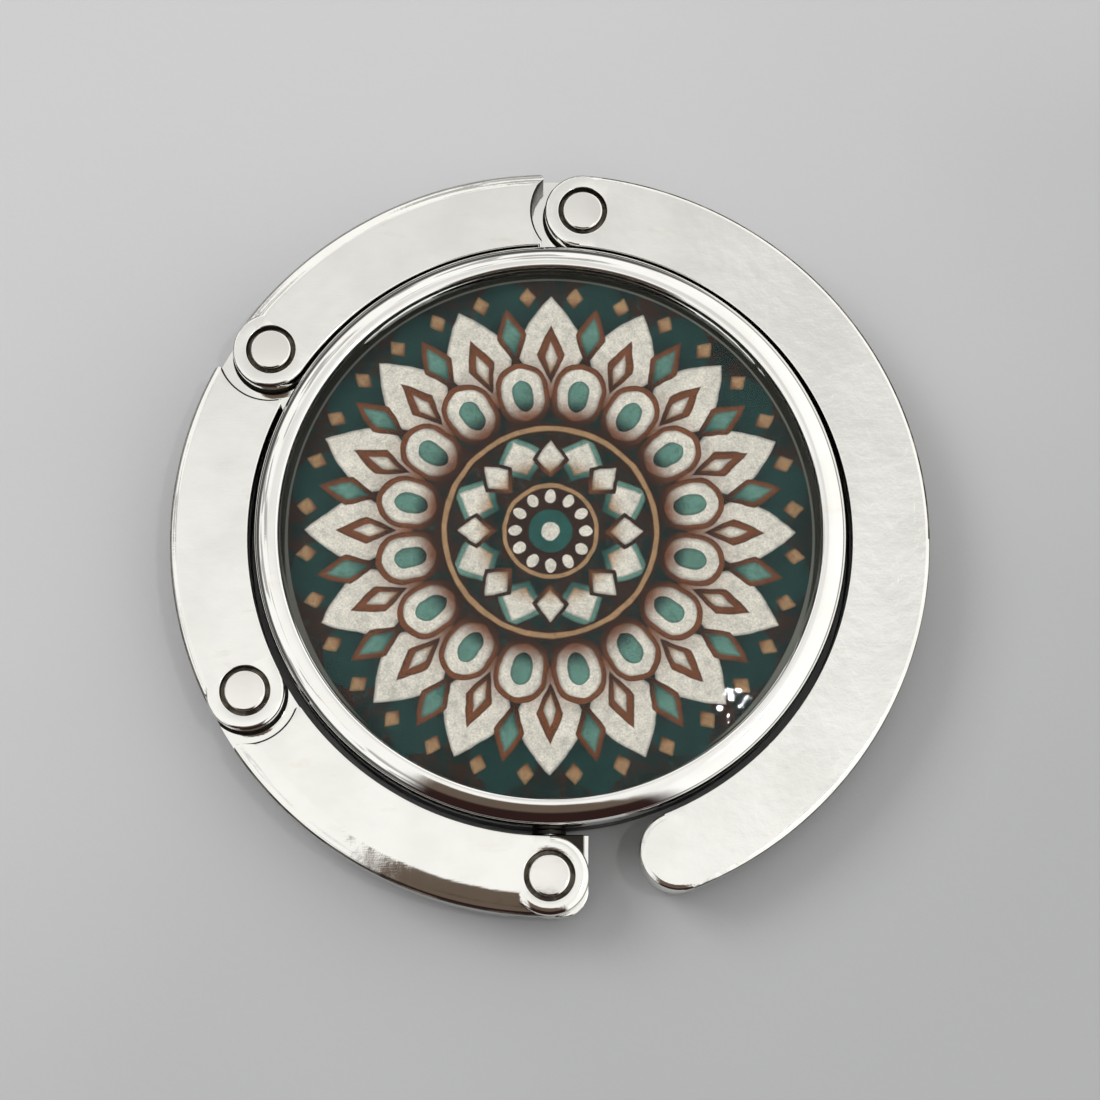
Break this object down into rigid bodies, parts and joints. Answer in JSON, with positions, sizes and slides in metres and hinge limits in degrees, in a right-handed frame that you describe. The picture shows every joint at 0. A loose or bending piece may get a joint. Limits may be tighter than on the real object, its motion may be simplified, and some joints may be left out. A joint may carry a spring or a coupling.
{
  "type": "folding purse hook",
  "caption": "Folding purse hook: a glazed, printed disc that lies on a table's edge, with a riveted arm that folds round it and opens into a hook for a handbag.",
  "frame": {"origin": "centre of the rubber pad's underside, on which the disc lies", "axes": "+Z along the disc's axis, towards the glass; -Y from the disc's centre towards the swivel lug; +X towards the hook's long arm"},
  "size_m": [0.045, 0.045, 0.0061],
  "materials": {
    "plated_metal": "polished bright nickel plate with fine wiping marks",
    "rivet_metal": "polished plate",
    "pin_steel": "turned steel",
    "glass": "clear polished dome",
    "printed_card": "matt print in cream, teal, rust brown and dark green",
    "rubber": "matt black",
    "tape": "adhesive film"
  },
  "bodies": {
    "disc": {"disc_body": "plated_metal", "print_disc": "printed_card", "glass_lens": "glass", "rubber_pad": "rubber", "pad_tape": "tape", "swivel_washer": "pin_steel"},
    "lug": {"swivel_lug": "plated_metal", "swivel_pin": "pin_steel", "rivet_lug": "rivet_metal"},
    "link_1": {"link_1": "plated_metal", "rivet_1_2": "rivet_metal"},
    "link_2": {"link_2": "plated_metal", "rivet_2_3": "rivet_metal"},
    "link_3": {"link_3": "plated_metal", "rivet_hook": "rivet_metal"},
    "hook": {"hook_arm": "plated_metal"}
  },
  "joints": [
    {"name": "swivel", "type": "hinge", "parent": "disc", "child": "lug", "pos_m": [0, -0.0176, 0.00183], "axis": [0, 1, 0], "range_deg": [-90, 90]},
    {"name": "lug_hinge", "type": "hinge", "parent": "lug", "child": "link_1", "pos_m": [0, -0.0204, 0.0026], "axis": [0, 0, 1], "range_deg": [0, 20]},
    {"name": "hinge_1_2", "type": "hinge", "parent": "link_1", "child": "link_2", "pos_m": [-0.0178, -0.00975, 0.0026], "axis": [0, 0, 1], "range_deg": [0, 16]},
    {"name": "hinge_2_3", "type": "hinge", "parent": "link_2", "child": "link_3", "pos_m": [-0.01682, 0.01098, 0.0026], "axis": [0, 0, 1], "range_deg": [0, 28]},
    {"name": "hook_hinge", "type": "hinge", "parent": "link_3", "child": "hook", "pos_m": [0.0019, 0.01991, 0.0026], "axis": [0, 0, 1], "range_deg": [0, 80]}
  ],
  "couplings": [
    {"joint": "hinge_2_3", "follows": "hook_hinge", "ratio": 0.35},
    {"joint": "hinge_1_2", "follows": "hook_hinge", "ratio": 0.2},
    {"joint": "lug_hinge", "follows": "hook_hinge", "ratio": 0.25}
  ]
}
